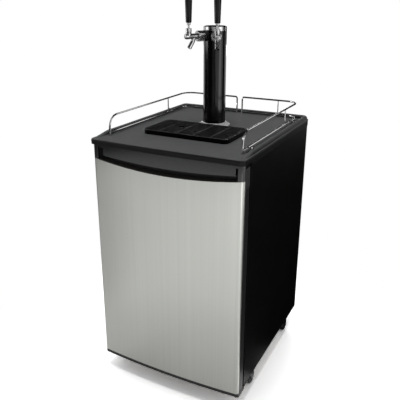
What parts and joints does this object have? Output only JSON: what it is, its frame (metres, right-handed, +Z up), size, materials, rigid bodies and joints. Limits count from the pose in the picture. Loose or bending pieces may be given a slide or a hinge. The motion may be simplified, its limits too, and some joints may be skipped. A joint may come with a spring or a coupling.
{
  "type": "keg cooler",
  "caption": "Freestanding keg refrigerator on casters with a bowed steel door, railed worktop, drip tray and a column tower with two lever taps.",
  "frame": {"origin": "on the floor under the middle of the worktop", "axes": "+Z up, the door faces -Y, +X to the right of someone facing the door"},
  "size_m": [0.525, 0.616, 1.346],
  "materials": {
    "black_paint": "satin black enamel",
    "zinc_steel": "zinc plated pressed steel",
    "rigid_foam": "rigid foam",
    "white_plastic": "satin white moulding",
    "aluminium_sheet": "mill finish",
    "black_plastic": "fine grain black",
    "copper_tube": "drawn copper",
    "black_rubber": "soft matt",
    "worktop_plastic": "fine grained dark grey moulding",
    "chrome": "polished chrome",
    "bright_steel": "polished stainless steel",
    "tower_lacquer": "gloss black lacquer on a steel tube",
    "tray_lacquer": "gloss black enamel",
    "brushed_steel": "upright brushed stainless steel",
    "grey_plastic": "dark grey moulding",
    "cap_plastic": "fine grained charcoal moulding",
    "handle_plastic": "gloss black",
    "wheel_rubber": "black nylon and rubber"
  },
  "bodies": {
    "cabinet": {"cabinet_shell": "black_paint", "base_pan": "zinc_steel", "back_panel": "black_paint", "bay_panel": "zinc_steel", "insulation_foam": "rigid_foam", "inner_liner": "white_plastic", "evaporator_plate": "aluminium_sheet", "keg_floor_plate": "aluminium_sheet", "thermostat_housing": "white_plastic", "compressor": "black_paint", "relay_cover": "black_plastic", "condenser_coil": "black_paint", "suction_line": "copper_tube", "cord_gland": "black_rubber", "worktop": "worktop_plastic", "guard_rail_left": "chrome", "guard_rail_right": "chrome", "tower_flange": "chrome", "tower_tube": "tower_lacquer", "tower_cap": "chrome", "top_hinge_bracket": "zinc_steel", "bottom_hinge_bracket": "zinc_steel", "shank_left": "chrome", "shank_collar_left": "black_plastic", "coupling_nut_left": "chrome", "faucet_body_left": "chrome", "faucet_bonnet_left": "chrome", "shank_right": "chrome", "shank_collar_right": "black_plastic", "coupling_nut_right": "chrome", "faucet_body_right": "chrome", "faucet_bonnet_right": "chrome", "caster_plate_front_left": "zinc_steel", "caster_plate_front_right": "zinc_steel", "caster_plate_rear_left": "zinc_steel", "caster_plate_rear_right": "zinc_steel"},
    "door": {"door_skin": "brushed_steel", "door_core": "rigid_foam", "door_frame": "grey_plastic", "door_liner": "white_plastic", "door_gasket": "black_rubber", "door_cap": "cap_plastic", "door_bottom_trim": "black_plastic"},
    "thermostat_dial": {"thermostat_knob": "black_plastic"},
    "tray": {"drip_tray": "tray_lacquer"},
    "grille": {"drip_grille": "tray_lacquer"},
    "lever_left": {"faucet_lever_left": "chrome", "tap_handle_left": "handle_plastic"},
    "plunger_left": {"faucet_plunger_left": "bright_steel"},
    "lever_right": {"faucet_lever_right": "chrome", "tap_handle_right": "handle_plastic"},
    "plunger_right": {"faucet_plunger_right": "bright_steel"},
    "fork_front_left": {"caster_fork_front_left": "zinc_steel"},
    "wheel_front_left": {"caster_wheel_front_left": "wheel_rubber"},
    "fork_front_right": {"caster_fork_front_right": "zinc_steel"},
    "wheel_front_right": {"caster_wheel_front_right": "wheel_rubber"},
    "fork_rear_left": {"caster_fork_rear_left": "zinc_steel"},
    "wheel_rear_left": {"caster_wheel_rear_left": "wheel_rubber"},
    "fork_rear_right": {"caster_fork_rear_right": "zinc_steel"},
    "wheel_rear_right": {"caster_wheel_rear_right": "wheel_rubber"}
  },
  "joints": [
    {"name": "door_hinge", "type": "hinge", "parent": "cabinet", "child": "door", "pos_m": [0.246, -0.276, 0.44], "axis": [0, 0, 1], "range_deg": [0, 115]},
    {"name": "thermostat_turn", "type": "hinge", "parent": "cabinet", "child": "thermostat_dial", "pos_m": [0.155, -0.18, 0.7637], "axis": [0, -1, 0], "range_deg": [0, 270]},
    {"name": "tray_lift", "type": "slide", "parent": "cabinet", "child": "tray", "axis": [0, 0, 1], "range_m": [0, 0.06]},
    {"name": "grille_lift", "type": "slide", "parent": "tray", "child": "grille", "axis": [0, 0, 1], "range_m": [0, 0.04]},
    {"name": "tap_left", "type": "hinge", "parent": "cabinet", "child": "lever_left", "pos_m": [-0.05023, -0.04078, 1.169], "axis": [0.8704, -0.4924, 0], "range_deg": [0, 30]},
    {"name": "plunger_slide_left", "type": "slide", "parent": "cabinet", "child": "plunger_left", "axis": [0.4924, 0.8704, 0], "range_m": [0, 0.01]},
    {"name": "tap_right", "type": "hinge", "parent": "cabinet", "child": "lever_right", "pos_m": [0.05023, -0.04078, 1.169], "axis": [0.8704, 0.4924, 0], "range_deg": [0, 30]},
    {"name": "plunger_slide_right", "type": "slide", "parent": "cabinet", "child": "plunger_right", "axis": [-0.4924, 0.8704, 0], "range_m": [0, 0.01]},
    {"name": "swivel_front_left", "type": "hinge", "parent": "cabinet", "child": "fork_front_left", "pos_m": [-0.236, -0.156, 0.056], "axis": [0, 0, 1], "continuous": true},
    {"name": "roll_front_left", "type": "hinge", "parent": "fork_front_left", "child": "wheel_front_left", "pos_m": [-0.236, -0.138, 0.025], "axis": [1, 0, 0], "continuous": true},
    {"name": "swivel_front_right", "type": "hinge", "parent": "cabinet", "child": "fork_front_right", "pos_m": [0.236, -0.156, 0.056], "axis": [0, 0, 1], "continuous": true},
    {"name": "roll_front_right", "type": "hinge", "parent": "fork_front_right", "child": "wheel_front_right", "pos_m": [0.236, -0.138, 0.025], "axis": [1, 0, 0], "continuous": true},
    {"name": "swivel_rear_left", "type": "hinge", "parent": "cabinet", "child": "fork_rear_left", "pos_m": [-0.236, 0.195, 0.056], "axis": [0, 0, 1], "continuous": true},
    {"name": "roll_rear_left", "type": "hinge", "parent": "fork_rear_left", "child": "wheel_rear_left", "pos_m": [-0.236, 0.213, 0.025], "axis": [1, 0, 0], "continuous": true},
    {"name": "swivel_rear_right", "type": "hinge", "parent": "cabinet", "child": "fork_rear_right", "pos_m": [0.236, 0.195, 0.056], "axis": [0, 0, 1], "continuous": true},
    {"name": "roll_rear_right", "type": "hinge", "parent": "fork_rear_right", "child": "wheel_rear_right", "pos_m": [0.236, 0.213, 0.025], "axis": [1, 0, 0], "continuous": true}
  ],
  "couplings": [
    {"joint": "plunger_slide_left", "follows": "tap_left", "m_per_rad": 0.019},
    {"joint": "plunger_slide_right", "follows": "tap_right", "m_per_rad": 0.019}
  ]
}
